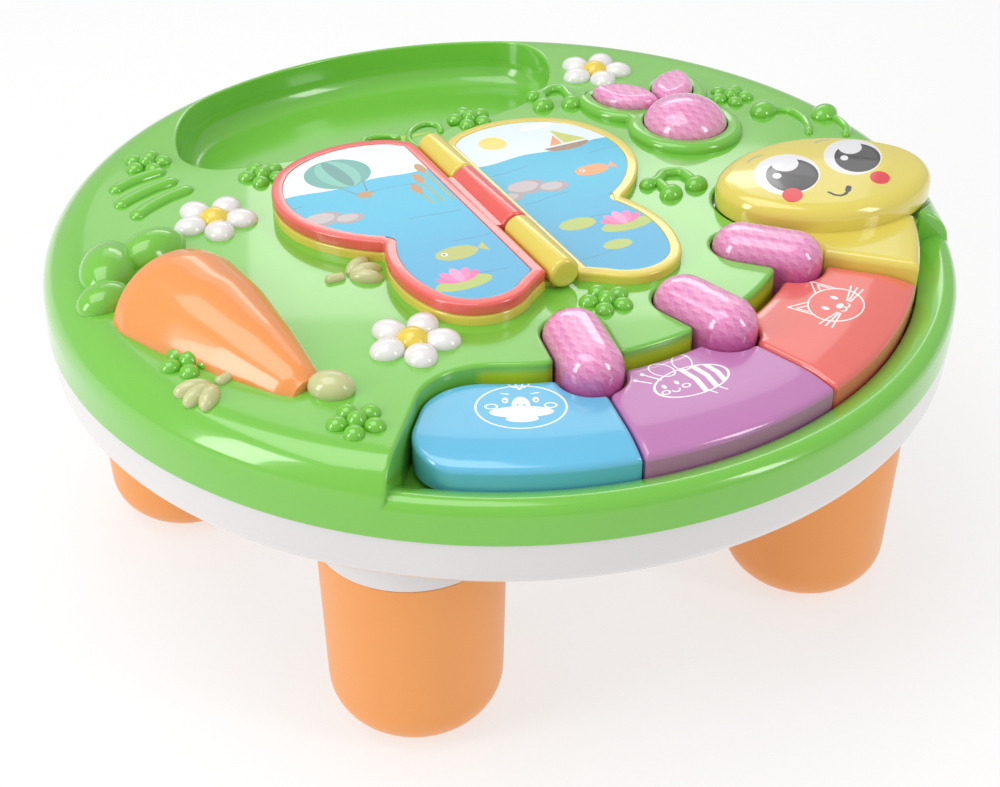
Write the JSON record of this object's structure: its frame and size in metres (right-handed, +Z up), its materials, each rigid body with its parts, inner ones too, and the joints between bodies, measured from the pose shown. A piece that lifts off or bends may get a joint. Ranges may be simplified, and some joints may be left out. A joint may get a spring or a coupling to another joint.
{
  "type": "musical activity table",
  "caption": "Round toddler's activity table with sprung sound keys, light lenses, a turning butterfly picture page, a storage tray and push-fit legs.",
  "frame": {"origin": "on the floor under the middle of the round table top", "axes": "+Z up, +X to the right of the seated child, -Y towards the child and the keys"},
  "size_m": [0.42, 0.42, 0.1815],
  "materials": {
    "green_shell": "glossy",
    "white_shell": "glossy",
    "orange_leg": "satin",
    "key_blue": "glossy",
    "key_purple": "glossy",
    "key_red": "glossy",
    "head_yellow": "glossy",
    "book_yellow": "glossy",
    "book_red": "glossy",
    "steel": "plain",
    "picture_paper": "printed and laminated",
    "clear_magenta": "clear, glossy",
    "frosted_magenta": "frosted",
    "carrot_orange": "glossy",
    "leaf_green": "glossy",
    "petal_white": "glossy",
    "daisy_yellow": "glossy",
    "rubber": "matt",
    "circuit_board": "satin",
    "lamp": "clear",
    "speaker_black": "matt",
    "cell_jacket": "printed jacket"
  },
  "bodies": {
    "table": {"batteries": "cell_jacket", "battery_contacts": "steel", "battery_door": "white_shell", "board_screws": "steel", "book_base": "book_yellow", "bottom_shell": "white_shell", "carrot": "carrot_orange", "carrot_leaves": "leaf_green", "daisy_centres": "daisy_yellow", "daisy_petals": "petal_white", "door_screw": "steel", "front_legs": "orange_leg", "hinge_pin": "steel", "leds": "lamp", "light_diffusers": "frosted_magenta", "light_lens": "clear_magenta", "main_board": "circuit_board", "pad_blue": "rubber", "pad_head": "rubber", "pad_purple": "rubber", "pad_radish": "rubber", "pad_red": "rubber", "radish_board": "circuit_board", "rear_legs": "orange_leg", "shell_screws": "steel", "speaker": "speaker_black", "switch_body": "speaker_black", "top_shell": "green_shell"},
    "page": {"book_page": "book_red"},
    "key_blue": {"key_blue": "key_blue"},
    "key_purple": {"key_purple": "key_purple"},
    "key_red": {"key_red": "key_red"},
    "key_head": {"key_head": "head_yellow"},
    "radish": {"radish_button": "clear_magenta", "radish_diffuser": "frosted_magenta"},
    "switch": {"mode_switch": "orange_leg"}
  },
  "joints": [
    {"name": "page_turn", "type": "hinge", "parent": "table", "child": "page", "pos_m": [-0.0087, -0.007, 0.1686], "axis": [0, 1, 0], "range_deg": [0, 180]},
    {"name": "key_blue_press", "type": "slide", "parent": "table", "child": "key_blue", "axis": [0, 0, -1], "range_m": [0, 0.003], "stiffness_N_per_m": 400, "springref_m": -0.004, "deforming": ["pad_blue"]},
    {"name": "key_purple_press", "type": "slide", "parent": "table", "child": "key_purple", "axis": [0, 0, -1], "range_m": [0, 0.003], "stiffness_N_per_m": 400, "springref_m": -0.004, "deforming": ["pad_purple"]},
    {"name": "key_red_press", "type": "slide", "parent": "table", "child": "key_red", "axis": [0, 0, -1], "range_m": [0, 0.003], "stiffness_N_per_m": 400, "springref_m": -0.004, "deforming": ["pad_red"]},
    {"name": "key_head_press", "type": "slide", "parent": "table", "child": "key_head", "axis": [0, 0, -1], "range_m": [0, 0.003], "stiffness_N_per_m": 500, "springref_m": -0.004, "deforming": ["pad_head"]},
    {"name": "radish_press", "type": "slide", "parent": "table", "child": "radish", "axis": [0, 0, -1], "range_m": [0, 0.0025], "stiffness_N_per_m": 350, "springref_m": -0.003, "deforming": ["pad_radish"]},
    {"name": "mode_slide", "type": "slide", "parent": "table", "child": "switch", "axis": [1, 0, 0], "range_m": [-0.004, 0.004]}
  ]
}
